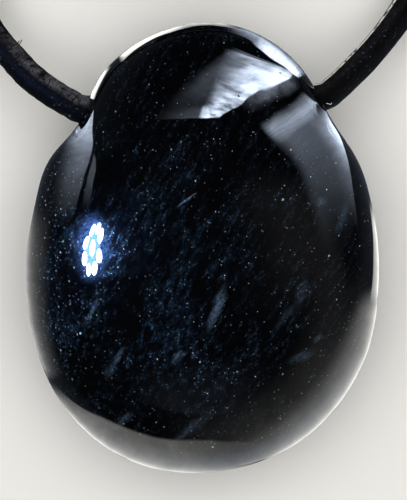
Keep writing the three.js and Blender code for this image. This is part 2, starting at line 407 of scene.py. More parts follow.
# The torch: where on the stone its mirror image and its wash lie, and how far off it is, in millimetres;
# its ring, as lamps round it, degrees seen from the stone, and degrees turned; the radius of a lamp in
# millimetres; and for the lamps, the disc in the ring and the wash, their beams in degrees and their watts.
TORCH_PLACE = (-7.82, -0.05)
WASH_PLACE = (-7.6, 0.1)
TORCH_DISTANCE = 110
TORCH_RING_LAMPS = 8
TORCH_RING_ANGLE = 5.2
TORCH_RING_TURN = 20
TORCH_LAMP_RADIUS = 3.3
TORCH_LAMP_BEAM = 12
TORCH_LAMP_WATTS = 0.05
TORCH_FACE_WATTS = 0.034
WASH_BEAM = 2.7
WASH_WATTS = 9.0


# ---- Settings ----


class PendantStoneSettings(bpy.types.PropertyGroup):
    """Sizes and colours of the stone."""

    detail: bpy.props.IntProperty(
        name="Detail", description="Cuts along each edge of the starting cube", default=119, min=7, max=127
    )
    black: bpy.props.StringProperty(
        name="Body colour", description="Colour of the stone's body", default=ONYX_BLACK
    )
    # The bluer clouds are partly painted torch light.
    blue: bpy.props.StringProperty(
        name="Blue colour", description="Colour of the bluer clouds", default=ONYX_BLUE_AND_TORCH_GLOW
    )


class PendantCordSettings(bpy.types.PropertyGroup):
    """Sizes of the leather lace."""

    diameter: bpy.props.FloatProperty(
        name="Diameter", description="Thickness of the lace", default=2 * MM, unit="LENGTH"
    )
    length: bpy.props.FloatProperty(
        name="Length", description="Whole length of the lace", default=450 * MM, unit="LENGTH"
    )


class PendantStageSettings(bpy.types.PropertyGroup):
    """Camera distance and light level."""

    camera_distance: bpy.props.FloatProperty(
        name="Camera distance",
        description="From the camera to the stone's edge plane",
        default=CAMERA_DISTANCE * MM,
        unit="LENGTH",
    )
    light: bpy.props.FloatProperty(
        name="Light", description="Brightness of the light from above, in watts", default=10.0, min=0.0
    )


# ---- Helpers ----

# Settings that many nodes share.
SMOOTHSTEP = {"interpolation_type": "SMOOTHSTEP"}
MULTIPLY = {"operation": "MULTIPLY"}
MULTIPLY_ADD = {"operation": "MULTIPLY_ADD"}
COLOUR_MIX = {"data_type": "RGBA"}


def linear(hex_colour):
    """An sRGB hex value as linear RGBA."""
    parts = [int(hex_colour[i : i + 2], 16) / 255 for i in (1, 3, 5)]
    return [c / 12.92 if c <= 0.04045 else ((c + 0.055) / 1.055) ** 2.4 for c in parts] + [1.0]


def add_node(tree, kind, settings=None, **inputs):
    """Adds a node with its own settings, and with its inputs as values or as links from other nodes.

    An input is called by its name, or by i and its number where several share a name.
    """
    node = tree.nodes.new(kind)
    for name, value in (settings or {}).items():
        setattr(node, name, value)
    for name, value in inputs.items():
        key = int(name[1:]) if name[0] == "i" and name[1:].isdigit() else name.replace("_", " ")
        if isinstance(value, bpy.types.NodeSocket):
            tree.links.new(value, node.inputs[key])
        else:
            node.inputs[key].default_value = value
    return node


def new_material(name):
    """An empty material, its node tree and its Principled shader."""
    material = bpy.data.materials.new(name)
    material.use_nodes = True
    tree = material.node_tree
    return material, tree, tree.nodes["Principled BSDF"]


def smoothstep(low, high, x):
    """Goes softly from 0 at the low end to 1 at the high end."""
    t = min(1.0, max(0.0, (x - low) / (high - low)))
    return t * t * (3 - 2 * t)


def mesh_object(name, bm, material, sharp_angle=None):
    """Turns a bmesh into a shaded object at the origin."""
    mesh = bpy.data.meshes.new(name)
    bm.to_mesh(mesh)
    bm.free()
    mesh.polygons.foreach_set("use_smooth", [True] * len(mesh.polygons))
    if sharp_angle is not None:
        mesh.set_sharp_from_angle(angle=math.radians(sharp_angle))
    mesh.materials.append(material)
    piece = bpy.data.objects.new(name, mesh)
    bpy.context.scene.collection.objects.link(piece)
    return piece


def curve_piece(points, i, t):
    """A point between points i and i + 1 of a smooth curve that runs through them all."""
    b, c = points[i], points[i + 1]
    a = points[i - 1] if i else 2 * b - c
    d = points[i + 2] if i + 2 < len(points) else 2 * c - b
    return 0.5 * (
        2 * b + (c - a) * t + (2 * a - 5 * b + 4 * c - d) * t**2 + (3 * b - a - 3 * c + d) * t**3
    )


def catmull_rom(points, spacing):
    """Points about `spacing` apart on a smooth curve through a list of points."""
    path = []
    for i in range(len(points) - 1):
        steps = max(1, round((points[i + 1] - points[i]).length / spacing))
        path.extend(curve_piece(points, i, k / steps) for k in range(steps))
    return path + [points[-1]]


def light_group(name):
    """The collection of pieces that a light or a card may shine on alone."""
    return bpy.data.collections.get(name) or bpy.data.collections.new(name)


def add_light(name, kind, place, watts, aim=None, colour=None, **settings):
    """Adds a light that the camera doesn't see. Its place and what it aims at are in metres."""
    light = bpy.data.lights.new(name, kind)
    light.energy = watts
    if colour:
        light.color = linear(colour)[:3]
    for setting, value in settings.items():
        setattr(light, setting, value)
    lamp = bpy.data.objects.new(name, light)
    bpy.context.scene.collection.objects.link(lamp)
    lamp.location = place
    if aim is not None:
        lamp.rotation_euler = (aim - lamp.location).to_track_quat("-Z", "Y").to_euler()
    lamp.visible_camera = False
    return lamp


# ---- The stone ----


def radius_at(radii, clock_angle):
    """A cubic B-spline round the clock through evenly spaced radii, so that the stone has no crease."""
    count = len(radii)
    place = clock_angle / (2 * math.pi) * count
    first = math.floor(place)
    t = place - first
    weights = ((1 - t) ** 3, 3 * t**3 - 6 * t**2 + 4, -3 * t**3 + 3 * t**2 + 3 * t + 1, t**3)
    return sum(w * radii[(first - 1 + i) % count] for i, w in enumerate(weights)) / 6


def face_normal(hour, tilt):
    """The direction a worn face looks in."""
    clock_angle = hour / 12 * 2 * math.pi
    lean = math.radians(tilt)
    return Vector(
        (
            math.sin(lean) * math.sin(clock_angle),
            math.sin(lean) * math.cos(clock_angle),
            math.cos(lean),
        )
    )


FACE_VECTORS = [face_normal(hour, tilt) / distance for hour, tilt, distance in WORN_FACES]


def stone_reach(direction):
    """How far the stone reaches from its middle in a unit direction.

    The dome, the steeper band round the edge and the worn faces give way softly to one another.
    """
    clock_angle = math.atan2(direction.x, direction.y)
    across = math.hypot(direction.x, direction.y)
    up = abs(direction.z) / (FRONT_DEPTH if direction.z > 0 else BACK_DEPTH)
    total = 0.0
    for radii, rise in ((DOME_RADII, 1), (EDGE_RADII, EDGE_RISE)):
        rounded = (across / radius_at(radii, clock_angle)) ** FULLNESS + (up / rise) ** FULLNESS
        total += rounded ** (WEAR / FULLNESS)
    for vector in FACE_VECTORS:
        total += max(0.0, direction.dot(vector)) ** WEAR
    return total ** (-1 / WEAR)


def waviness(direction):
    """The faint unevenness that tumbling leaves: swells about 3 mm across, and ripples about 1 mm."""
    return 0.006 * noise.noise(direction * 5) + 0.0015 * noise.noise(direction * 14)


def drill_bit():
    """The bore with its flared mouths, as a closed bmesh that runs on outside the stone."""
    run_out = 3.0
    length = (HOLE_RIGHT - HOLE_LEFT).length
    bm = bmesh.new()
    profile = [
        (0, -run_out),
        (MOUTH_RADIUS, -run_out),
        (MOUTH_RADIUS, 0),
        (HOLE_RADIUS, MOUTH_DEPTH),
        (HOLE_RADIUS, length - MOUTH_DEPTH),
        (MOUTH_RADIUS, length),
        (MOUTH_RADIUS, length + run_out),
        (0, length + run_out),
    ]
    verts = [bm.verts.new((out, 0, along)) for out, along in profile]
    edges = [bm.edges.new(pair) for pair in zip(verts, verts[1:])]
    bmesh.ops.spin(
        bm,
        geom=verts + edges,
        cent=(0, 0, 0),
        axis=(0, 0, 1),
        angle=2 * math.pi,
        steps=48,
        use_merge=True,
    )
    bmesh.ops.remove_doubles(bm, verts=bm.verts, dist=1e-4)
    bmesh.ops.recalc_face_normals(bm, faces=bm.faces)
    turn = (HOLE_RIGHT - HOLE_LEFT).to_track_quat("Z", "Y").to_matrix().to_4x4()
    bm.transform(Matrix.Scale(MM, 4) @ Matrix.Translation(HOLE_LEFT) @ turn)
    return bm


def onyx_material(settings):
    """Polished onyx: black chalcedony with bluish grains, pale specks and soft wisps along its bedding.

    To the eye it is nearly black under a mirror polish with a few pinholes; its bluer left is partly
    painted torch light.
    """
    material, tree, shader = new_material("polished_blue_black_onyx")
    place = add_node(tree, "ShaderNodeTexCoord").outputs["Object"]

    def along_bedding(stretch):
        """Places for a pattern that is drawn out along the bedding."""
        return add_node(
            tree, "ShaderNodeMapping", {"vector_type": "TEXTURE"}, Vector=place,
            Rotation=(0.0, 0.3, math.radians(BEDDING_ANGLE)), Scale=(stretch, 1, 1),
        ).outputs["Vector"]

    # The bluer side, partly the stone's own blue and partly painted torch light, fades out from 3 to 12 mm
    # off its middle.
    from_left = add_node(
        tree, "ShaderNodeVectorMath", {"operation": "DISTANCE"}, i0=place,
        i1=(-5 * MM, -3.5 * MM, 12 * MM),
    ).outputs["Value"]
    blue_clouds_and_torch_glow = add_node(
        tree, "ShaderNodeMapRange", SMOOTHSTEP, Value=from_left,
        From_Min=12 * MM, From_Max=3 * MM, To_Min=0.3,
    ).outputs["Result"]
    # Clouds about 3 mm across and streaks 0.4 mm across thicken the grains, which are about 0.15 mm.
    clouds = add_node(
        tree, "ShaderNodeTexNoise", Vector=along_bedding(2), Scale=1 / (3.0 * MM), Detail=3.0
    ).outputs["Fac"]
    streaks = add_node(
        tree, "ShaderNodeTexNoise", Vector=along_bedding(6), Scale=1 / (0.4 * MM), Detail=2.0
    ).outputs["Fac"]
    grains = add_node(
        tree, "ShaderNodeTexNoise", Vector=along_bedding(2), Scale=1 / (0.15 * MM), Detail=3.0
    ).outputs["Fac"]
    thickness = add_node(
        tree, "ShaderNodeMath", MULTIPLY_ADD, i0=clouds, i1=0.6, i2=streaks
    ).outputs[0]
    thick = add_node(
        tree, "ShaderNodeMapRange", SMOOTHSTEP, Value=thickness, From_Min=0.7, From_Max=1.0
    ).outputs["Result"]
    # Blue clouds, partly painted torch light round the torch's mirror image.
    blue_haze_and_torch_glow = add_node(tree, "ShaderNodeMath", MULTIPLY, i0=thick, i1=blue_clouds_and_torch_glow).outputs[0]
    colour = add_node(
        tree, "ShaderNodeMix", COLOUR_MIX, Factor=blue_haze_and_torch_glow, i6=linear(settings.black), i7=linear(settings.blue)
    ).outputs[2]
    heaped = add_node(
        tree, "ShaderNodeMath", MULTIPLY_ADD, i0=thickness, i1=0.6, i2=grains
    ).outputs[0]
    # The grains turn bluer there too, partly as painted torch light.
    grain_and_torch_glow_colour = add_node(
        tree, "ShaderNodeMix", COLOUR_MIX, Factor=blue_clouds_and_torch_glow,
        i6=linear(ONYX_DARK_GRAIN), i7=linear(ONYX_BLUE_GRAIN_AND_TORCH_GLOW),
    ).outputs[2]
    grainy = add_node(
        tree, "ShaderNodeMapRange", SMOOTHSTEP, Value=heaped, From_Min=1.02, From_Max=1.38
    ).outputs["Result"]
    colour = add_node(
        tree, "ShaderNodeMix", COLOUR_MIX, Factor=grainy, i6=colour, i7=grain_and_torch_glow_colour
    ).outputs[2]

    # Wisps: soft smudges with ragged edges, broken up by the grains.
    broken = add_node(
        tree, "ShaderNodeMapRange", SMOOTHSTEP, Value=grains, From_Min=0.35, From_Max=0.62, To_Min=0.35
    ).outputs["Result"]
    tousle = add_node(
        tree, "ShaderNodeTexNoise", Vector=along_bedding(2.5), Scale=1 / (0.5 * MM), Detail=3.0
    ).outputs["Color"]
    for across, up, height, length, width, angle, strength in WISPS:
        rag = 1.2 * width
        ragged = add_node(
            tree, "ShaderNodeVectorMath", MULTIPLY_ADD, i0=tousle,
            i1=(rag * MM, rag * MM, rag * MM), i2=place,
        ).outputs["Vector"]
        near = add_node(
            tree, "ShaderNodeMapping", {"vector_type": "TEXTURE"}, Vector=ragged,
            Location=((across + rag / 2) * MM, (up + rag / 2) * MM, (height + rag / 2) * MM),
            Rotation=(0, 0, math.radians(angle)),
            Scale=(length / 2 * MM, width / 2 * MM, 3 * MM),
        ).outputs["Vector"]
        away = add_node(tree, "ShaderNodeVectorMath", {"operation": "LENGTH"}, i0=near).outputs["Value"]
        smudge = add_node(
            tree, "ShaderNodeMapRange", SMOOTHSTEP, Value=away, From_Min=1.5, From_Max=0.0, To_Max=strength
        ).outputs["Result"]
        wisp = add_node(tree, "ShaderNodeMath", MULTIPLY, i0=smudge, i1=broken).outputs[0]
        colour = add_node(
            tree, "ShaderNodeMix", COLOUR_MIX, Factor=wisp, i6=colour, i7=linear(ONYX_WISP)
        ).outputs[2]

    # Pale specks, thicker in the streaks and along the left flank.
    sideways = add_node(tree, "ShaderNodeSeparateXYZ", Vector=place).outputs["X"]
    flank = add_node(
        tree, "ShaderNodeMapRange", SMOOTHSTEP, Value=sideways,
        From_Min=-7.5 * MM, From_Max=-10 * MM, To_Max=0.45,
    ).outputs["Result"]
    streaky = add_node(
        tree, "ShaderNodeMapRange", SMOOTHSTEP, Value=thickness, From_Min=0.6, From_Max=1.0, To_Max=0.3
    ).outputs["Result"]
    strewn = add_node(tree, "ShaderNodeMath", {"operation": "ADD"}, i0=streaky, i1=flank).outputs[0]
    for spacing, radius, rarity, strength in SPECKS:
        cells = add_node(
            tree, "ShaderNodeTexVoronoi", Vector=along_bedding(1.3), Scale=1 / (spacing * MM),
            Randomness=1.0,
        ).outputs
        luck = add_node(tree, "ShaderNodeSeparateColor", Color=cells["Color"]).outputs
        chance = add_node(tree, "ShaderNodeMath", {"operation": "ADD"}, i0=luck[0], i1=strewn).outputs[0]
        size = add_node(
            tree, "ShaderNodeMapRange", SMOOTHSTEP, Value=chance,
            From_Min=rarity, From_Max=rarity + 0.25, To_Max=radius / spacing,
        ).outputs["Result"]
        speck = add_node(
            tree, "ShaderNodeMapRange", SMOOTHSTEP, Value=cells["Distance"],
            From_Min=size, From_Max=0.0, To_Max=strength,
        ).outputs["Result"]
        speck_colour = add_node(
            tree, "ShaderNodeMix", COLOUR_MIX, Factor=luck[1],
            i6=linear(ONYX_SPECK), i7=linear(ONYX_BLUE_SPECK),
        ).outputs[2]
        colour = add_node(
            tree, "ShaderNodeMix", COLOUR_MIX, Factor=speck, i6=colour, i7=speck_colour
        ).outputs[2]
    tree.links.new(colour, shader.inputs["Base Color"])

    # Pinholes that the polish left open, about 0.1 mm across.
    pits = add_node(
        tree, "ShaderNodeTexVoronoi", Vector=place, Scale=1 / (1.3 * MM), Randomness=1.0
    ).outputs["Distance"]
    depth = add_node(
        tree, "ShaderNodeMapRange", SMOOTHSTEP, Value=pits,
        From_Min=0.02, From_Max=0.07,
    ).outputs["Result"]
    relief = add_node(
        tree, "ShaderNodeBump", Strength=0.5, Distance=0.03 * MM, Height=depth
    ).outputs["Normal"]
    tree.links.new(relief, shader.inputs["Coat Normal"])
    shader.inputs["Roughness"].default_value = 0.5
    shader.inputs["Specular IOR Level"].default_value = 0.0
    shader.inputs["Coat Weight"].default_value = 1.0
    shader.inputs["Coat Roughness"].default_value = 0.015
    shader.inputs["Coat IOR"].default_value = 1.54
    return material


class PENDANT_OT_stone(bpy.types.Operator):
    """Adds the drilled, polished pebble"""

    bl_idname = "pendant.stone"
    bl_label = "Stone"

    def execute(self, context):
        settings = context.scene.pendant_stone
        bm = bmesh.new()
        bmesh.ops.create_cube(bm, size=2)
        bmesh.ops.subdivide_edges(bm, edges=bm.edges, cuts=settings.detail, use_grid_fill=True)
        middle = Vector((0, 0, EDGE_HEIGHT))
        for vert in bm.verts:
            spread = Vector([math.tan(c * math.pi / 4) for c in vert.co]).normalized()
            vert.co = (middle + spread * (stone_reach(spread) + waviness(spread))) * MM
        trimmed = bmesh.ops.bisect_plane(
            bm,
            geom=bm.verts[:] + bm.edges[:] + bm.faces[:],
            plane_co=(0, 0, 0),
            plane_no=(0, 0, -1),
            clear_outer=True,
        )
        rim = [e for e in trimmed["geom_cut"] if isinstance(e, bmesh.types.BMEdge)]
        bmesh.ops.edgeloop_fill(bm, edges=rim)
        bmesh.ops.recalc_face_normals(bm, faces=bm.faces)
        piece = mesh_object("onyx", bm, onyx_material(settings))
        cutter = mesh_object("drill_bit", drill_bit(), piece.data.materials[0])
        boolean = piece.modifiers.new("drilled", "BOOLEAN")
        boolean.object = cutter
        boolean.solver = "EXACT"
        graph = context.evaluated_depsgraph_get()
        drilled = bpy.data.meshes.new_from_object(piece.evaluated_get(graph))
        piece.modifiers.clear()
        piece.data = drilled
        drilled.set_sharp_from_angle(angle=math.radians(MOUTH_EDGE_ANGLE))
        bpy.data.objects.remove(cutter)
        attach(piece, "root")
        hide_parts("stone")
        light_group("mirrors").objects.link(piece)
        return {"FINISHED"}


# ---- The cord ----


def strand_points(strand):
    """A strand's route as vectors."""
    return [Vector(point) for point in strand]


def hole_points():
    """Points along the hole's axis, from its left mouth to its right one."""
    return [HOLE_LEFT.lerp(HOLE_RIGHT, share) for share in (0, 0.25, 0.5, 0.75, 1)]


def coil_point(turns, whole):
    """The lace's middle line after so many turns out of the whole coil."""
    start = Vector(LEFT_STRAND[0]) - COIL_CENTRE
    end = Vector(RIGHT_STRAND[-1]) - COIL_CENTRE
    start_angle = math.atan2(start.y, start.x)
    bottom_radius = math.hypot(start.x, start.y) - TURN_PITCH * turns
    top_radius = math.hypot(end.x, end.y) - TURN_PITCH * (whole - turns)
    climb = smoothstep(CLIMB_START, CLIMB_END, turns)
    radius = bottom_radius + (top_radius - bottom_radius) * climb
    height = LEFT_STRAND[0][2] + (TOP_HEIGHT - LEFT_STRAND[0][2]) * climb
    angle = start_angle - 2 * math.pi * turns
    # The turns lift over the thread under them, on the side nearest the stone.
    off_tie = math.degrees(math.acos(max(-1, min(1, -math.sin(angle)))))
    tie = 1 - smoothstep(*TIE_LIFT, off_tie)
    height += TIE_DIAMETER * tie
    # The last turn swings out and up through the knot, on the far side.
    off_knot = math.degrees(math.acos(max(-1, min(1, math.sin(angle)))))
    if turns > whole - SWINGING_TURN:
        knot = 1 - smoothstep(*KNOT_SWING, off_knot)
        radius += (KNOT_CENTRE.y - COIL_CENTRE.y - radius) * knot
        height += (KNOT_CENTRE.z - height) * knot
    return COIL_CENTRE + Vector((radius * math.cos(angle), radius * math.sin(angle), height))


def coil_turns():
    """How many turns the coil has, from the left strand to the right one."""
    start = Vector(LEFT_STRAND[0]) - COIL_CENTRE
    end = Vector(RIGHT_STRAND[-1]) - COIL_CENTRE
    swept = math.atan2(start.y, start.x) - math.atan2(end.y, end.x)
    return WHOLE_TURNS + swept / (2 * math.pi)


def cord_path():
    """The lace's whole middle line: a loop that starts and ends in the middle of the stone's hole."""
    whole = coil_turns()
    steps_per_turn = 48
    count = round(whole * steps_per_turn)
    coil = [coil_point(whole * i / count, whole) for i in range(1, count)]
    hole = hole_points()
    points = (
        hole[2::-1]
        + strand_points(LEFT_STRAND)[::-1]
        + coil
        + strand_points(RIGHT_STRAND)[::-1]
        + hole[:1:-1]
    )
    return catmull_rom(points, PATH_SPACING)


def sweep(bm, path, radius_at, sides, start=0.0):
    """Adds a tube along a path, closed at both ends, with its UV map in lengths along and turns round."""
    uv_layer = bm.loops.layers.uv.verify()
    tangents = [
        (path[min(i + 1, len(path) - 1)] - path[max(i - 1, 0)]).normalized() for i in range(len(path))
    ]
    side = tangents[0].orthogonal().normalized()
    rings, along, travelled = [], [], start
    for i, (point, tangent) in enumerate(zip(path, tangents)):
        if i:
            side = tangents[i - 1].rotation_difference(tangent) @ side
            travelled += (point - path[i - 1]).length
        side = (side - tangent * side.dot(tangent)).normalized()
        other = tangent.cross(side)
        ring = []
        for k in range(sides):
            angle = 2 * math.pi * k / sides
            radius = radius_at(travelled, angle)
            ring.append(
                bm.verts.new((point + radius * (math.cos(angle) * side + math.sin(angle) * other)) * MM)
            )
        rings.append(ring)
        along.append(travelled)
    for i in range(len(rings) - 1):
        for k in range(sides):
            after = (k + 1) % sides
            face = bm.faces.new((rings[i][k], rings[i][after], rings[i + 1][after], rings[i + 1][k]))
            corners = ((along[i], k), (along[i], k + 1), (along[i + 1], k + 1), (along[i + 1], k))
            for loop, (u, v) in zip(face.loops, corners):
                loop[uv_layer].uv = (u, v / sides)
    bm.faces.new(rings[0][::-1])
    bm.faces.new(rings[-1])


def lace_radius(along, angle):
    """The lace isn't quite round: its radius wanders a little, most in the worn bend by the left mouth.

    Lumps about 2 mm long rise and fall by 0.045 mm, and dents about 0.5 mm long by 0.02 to 0.06 mm.
    """
    lump = noise.noise(Vector((0.45 * along, 0.9 * math.cos(angle), 0.9 * math.sin(angle))))
    dent = noise.noise(Vector((1.9 * along, 1.6 * math.cos(angle) + 7, 1.6 * math.sin(angle))))
    return LACE_RADIUS + 0.045 * lump + (0.02 + 0.04 * smoothstep(*DENTED_BEND, along)) * dent


def add_fibres(bm):
    """Adds the loose fibres: two dark hairs by the left strand, and a pale curl by the right mouth."""
    uv_layer = bm.loops.layers.uv.verify()
    for points, radius, along, round_lace in FIBRES:
        made = len(bm.faces)
        path = catmull_rom([Vector(point) for point in points], 0.1)
        sweep(bm, path, lambda travelled, angle: radius, FIBRE_SIDES)
        for face in list(bm.faces)[made:]:
            for loop in face.loops:
                loop[uv_layer].uv = (along, round_lace)


def side_of_lace(tree, round_lace, middle, reach, strength):
    """A strength, only on one side of the lace: its middle and reach are shares of the way round."""
    from_middle = add_node(
        tree, "ShaderNodeMath", {"operation": "PINGPONG"}, i1=0.5,
        i0=add_node(tree, "ShaderNodeMath", {"operation": "SUBTRACT"}, i0=round_lace, i1=middle).outputs[0],
    ).outputs[0]
    return add_node(
        tree, "ShaderNodeMapRange", SMOOTHSTEP, Value=from_middle,
        From_Min=reach, From_Max=0.4 * reach, To_Max=strength,
    ).outputs["Result"]


def leather_material():
    """Round cut leather lace: dyed black and waxed, worn greyer on its crests and cracked across its bends.

    To the eye it is a soft black with a dull, broken gloss and blue-grey flecks of dust with painted
    glints, and by the right mouth a thin broken line of painted rim highlight runs along one side.
    """
    material, tree, shader = new_material("waxed_black_leather_lace")
    uv = add_node(tree, "ShaderNodeUVMap", {"uv_map": "along_and_round"}).outputs["UV"]
    flat = add_node(tree, "ShaderNodeSeparateXYZ", Vector=uv)
    turn = add_node(
        tree, "ShaderNodeMath", MULTIPLY, i0=flat.outputs["Y"], i1=2 * math.pi
    ).outputs[0]
    wrapped = add_node(
        tree,
        "ShaderNodeCombineXYZ",
        X=flat.outputs["X"],
        Y=add_node(tree, "ShaderNodeMath", {"operation": "SINE"}, i0=turn).outputs[0],
        Z=add_node(tree, "ShaderNodeMath", {"operation": "COSINE"}, i0=turn).outputs[0],
    ).outputs["Vector"]

    # Cracks lie across the lace, about 0.8 mm apart.
    wander = add_node(tree, "ShaderNodeTexNoise", Vector=wrapped, Scale=1.0, Detail=3.0).outputs["Fac"]
    across = add_node(
        tree, "ShaderNodeMath", MULTIPLY_ADD, i0=wander, i1=0.9, i2=flat.outputs["X"]
    ).outputs[0]
    creases = add_node(
        tree, "ShaderNodeTexVoronoi", {"voronoi_dimensions": "1D", "feature": "DISTANCE_TO_EDGE"},
        W=across, Scale=1.2, Randomness=1.0,
    ).outputs["Distance"]
    crease = add_node(
        tree, "ShaderNodeMapRange", SMOOTHSTEP, Value=creases,
        From_Min=0.0, From_Max=0.09,
    ).outputs["Result"]
    # Grain is about 0.1 mm across, and scuffs about 1 mm.
    grain = add_node(
        tree, "ShaderNodeTexNoise", Vector=wrapped, Scale=9.0, Detail=5.0, Roughness=0.65
    ).outputs["Fac"]
    scuffs = add_node(
        tree, "ShaderNodeTexNoise", Vector=wrapped, Scale=1.1, Detail=5.0, Roughness=0.7
    ).outputs["Fac"]
    worn = add_node(
        tree, "ShaderNodeMapRange", SMOOTHSTEP, Value=scuffs,
        From_Min=0.36, From_Max=0.6,
    ).outputs["Result"]
    # The dye is worn and cracked most in the bend by the stone's left mouth, and little elsewhere.
    by_mouth = add_node(
        tree, "ShaderNodeMapRange", SMOOTHSTEP, Value=flat.outputs["X"],
        From_Min=WORN_BEND[0], From_Max=WORN_BEND[1], To_Min=0.06,
    ).outputs["Result"]
    speckled = add_node(
        tree, "ShaderNodeMapRange", SMOOTHSTEP, Value=grain,
        From_Min=0.36, From_Max=0.56, To_Min=0.2,
    ).outputs["Result"]
    wear = add_node(tree, "ShaderNodeMath", MULTIPLY, i0=worn, i1=by_mouth).outputs[0]
    wear = add_node(tree, "ShaderNodeMath", MULTIPLY, i0=wear, i1=speckled).outputs[0]
    wear = side_of_lace(tree, flat.outputs["Y"], WORN_SIDE, WORN_SIDE_REACH, wear)
    worn_crests = add_node(
        tree, "ShaderNodeMath", MULTIPLY, i0=wear, i1=crease
    ).outputs[0]
    colour = add_node(
        tree, "ShaderNodeMix", COLOUR_MIX, Factor=worn_crests,
        i6=linear(LEATHER_BLACK), i7=linear(LEATHER_WORN),
    ).outputs[2]
    # By the right mouth a painted rim highlight runs along one side of the lace as a thin broken pale line.
    patchy = add_node(
        tree, "ShaderNodeMapRange", SMOOTHSTEP, Value=scuffs,
        From_Min=0.38, From_Max=0.52,
    ).outputs["Result"]
    edge = side_of_lace(tree, flat.outputs["Y"], RIM_HIGHLIGHT_SIDE, RIM_HIGHLIGHT_REACH, patchy)
    by_right_mouth = add_node(
        tree, "ShaderNodeMapRange", SMOOTHSTEP, Value=flat.outputs["X"],
        From_Min=RIM_HIGHLIGHT_STRETCH[0], From_Max=RIM_HIGHLIGHT_STRETCH[1], To_Min=0.02,
    ).outputs["Result"]
    painted_rim = add_node(
        tree, "ShaderNodeMath", MULTIPLY, i0=edge, i1=by_right_mouth
    ).outputs[0]
    colour = add_node(
        tree, "ShaderNodeMix", COLOUR_MIX, Factor=painted_rim, i6=colour, i7=linear(LEATHER_RIM_HIGHLIGHT)
    ).outputs[2]
    # Blue-grey flecks about 0.2 mm across: fine dust and scratches, with their glints painted into the
    # colour.
    flecks = add_node(
        tree, "ShaderNodeTexNoise", Vector=wrapped, Scale=5.5, Detail=3.0, Roughness=0.6
    ).outputs["Fac"]
    dust_and_glints = add_node(
        tree, "ShaderNodeMapRange", SMOOTHSTEP, Value=flecks,
        From_Min=0.62, From_Max=0.73, To_Max=0.45,
    ).outputs["Result"]
    colour = add_node(
        tree, "ShaderNodeMix", COLOUR_MIX, Factor=dust_and_glints, i6=colour, i7=linear(LEATHER_DUST_AND_GLINT)
    ).outputs[2]
    tree.links.new(colour, shader.inputs["Base Color"])
    gloss = add_node(
        tree, "ShaderNodeMapRange", Value=grain, From_Min=0.3, From_Max=0.7, To_Min=0.38, To_Max=0.7
    ).outputs["Result"]
    tree.links.new(gloss, shader.inputs["Roughness"])
    shader.inputs["Specular IOR Level"].default_value = 0.25
    fine = add_node(
        tree, "ShaderNodeBump", Strength=0.5, Distance=0.04 * MM, Height=grain
    ).outputs["Normal"]
    relief = add_node(
        tree, "ShaderNodeBump", Strength=0.7, Distance=0.06 * MM, Height=worn_crests, Normal=fine
    ).outputs["Normal"]
    tree.links.new(relief, shader.inputs["Normal"])
    return material


def thread_material():
    """Waxed linen thread, laid from plies that show as slanting ridges.

    To the eye it is a dull dark brown line with a slanting twist.
    """
    material, tree, shader = new_material("waxed_brown_linen_thread")
    uv = add_node(tree, "ShaderNodeUVMap", {"uv_map": "along_and_round"}).outputs["UV"]
    flat = add_node(tree, "ShaderNodeSeparateXYZ", Vector=uv)
    # Three plies, each once round in 1.2 mm.
    slant = add_node(
        tree, "ShaderNodeMath", MULTIPLY_ADD,
        i0=flat.outputs["X"], i1=1 / 1.2, i2=flat.outputs["Y"],
    ).outputs[0]
    phase = add_node(
        tree, "ShaderNodeMath", MULTIPLY, i0=slant, i1=3 * 2 * math.pi
    ).outputs[0]
    ply = add_node(tree, "ShaderNodeMath", {"operation": "SINE"}, i0=phase).outputs[0]
    height = add_node(
        tree, "ShaderNodeMapRange", Value=ply, From_Min=-1.0, From_Max=1.0
    ).outputs["Result"]
    # The grooves between the plies are coloured black as painted shade, and the ridges brown.
    colour = add_node(
        tree, "ShaderNodeMix", COLOUR_MIX, Factor=height,
        i6=linear(LEATHER_BLACK), i7=linear(THREAD_BROWN),
    ).outputs[2]
    tree.links.new(colour, shader.inputs["Base Color"])
    relief = add_node(
        tree, "ShaderNodeBump", Strength=0.9, Distance=0.06 * MM, Height=height
    ).outputs["Normal"]
    tree.links.new(relief, shader.inputs["Normal"])
    shader.inputs["Roughness"].default_value = 0.55
    return material


def barrel_path(side):
    """One half of the fisherman's knot: its wraps wind outwards from the middle to a trimmed tail."""
    places = []
    steps_per_wrap = 30
    steps = round(steps_per_wrap * WRAPS_A_BARREL)
    for i in range(steps + 1):
        wraps = WRAPS_A_BARREL * i / steps
        sunk = 0.5 * smoothstep(0.2, 0.0, wraps)
        places.append((FIRST_WRAP + WRAP_PITCH * wraps, WRAP_RADIUS - sunk, 360 * wraps - 90))
    out, radius, angle = places[-1]
    # The tail: how far out from the middle it lies, how far off the knot's axis, and how far round.
    places += [(out + 1.4, radius, angle + 30), (out + 2.6, 1.95, angle + 41), (9.8, 1.95, angle + 43)]
    path = []
    for out, radius, angle in places:
        turn = math.radians(angle)
        around = Vector((side * out, side * radius * math.cos(turn), radius * math.sin(turn)))
        path.append(KNOT_CENTRE + around)
    return catmull_rom(path, 0.3)


class PENDANT_OT_knot(bpy.types.Operator):
    """Adds the fisherman's knot that closes the lace's loop"""

    bl_idname = "pendant.knot"
    bl_label = "Knot"

    def execute(self, context):
        bm = bmesh.new()
        bm.loops.layers.uv.new("along_and_round")
        for side, start in KNOT_PATTERN_STARTS.items():
            sweep(
                bm, barrel_path(side), lambda along, angle: KNOT_TIGHTNESS * lace_radius(along, angle),
                KNOT_SIDES, start,
            )
        bmesh.ops.recalc_face_normals(bm, faces=bm.faces)
        piece = mesh_object("fishermans_knot", bm, leather_material(), CUT_END_ANGLE)
        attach(piece, "root")
        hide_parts("cord_knot")
        light_group("leather").objects.link(piece)
        return {"FINISHED"}


